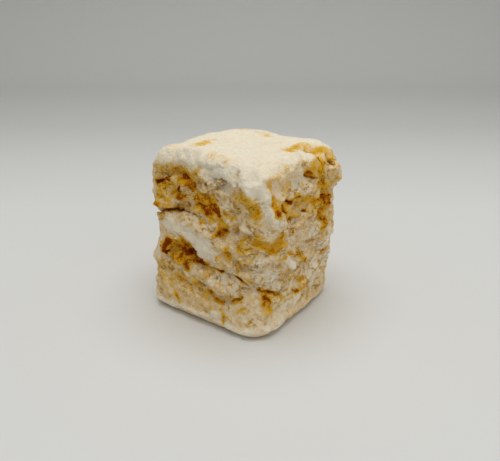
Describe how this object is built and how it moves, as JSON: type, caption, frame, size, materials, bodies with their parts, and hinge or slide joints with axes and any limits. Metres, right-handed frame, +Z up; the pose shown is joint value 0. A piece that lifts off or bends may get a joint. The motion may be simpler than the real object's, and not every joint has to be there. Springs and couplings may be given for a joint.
{
  "type": "marshmallow",
  "caption": "Hand-cut block of soft marshmallow with caramel folded through it, standing on its flat base, with a smooth top and folded, crumbly sides.",
  "frame": {"origin": "on the surface that the block stands on, under the middle of its box", "axes": "+Z up, the block's longest side; -Y out of the front face, with the deep slit; +X out of the right face"},
  "size_m": [0.0368, 0.0352, 0.0404],
  "materials": {
    "marshmallow": "soft, dry and powdery: cream white with beige and amber caramel swirls, matt all over"
  },
  "bodies": {
    "root": {"marshmallow": "marshmallow"}
  },
  "joints": []
}
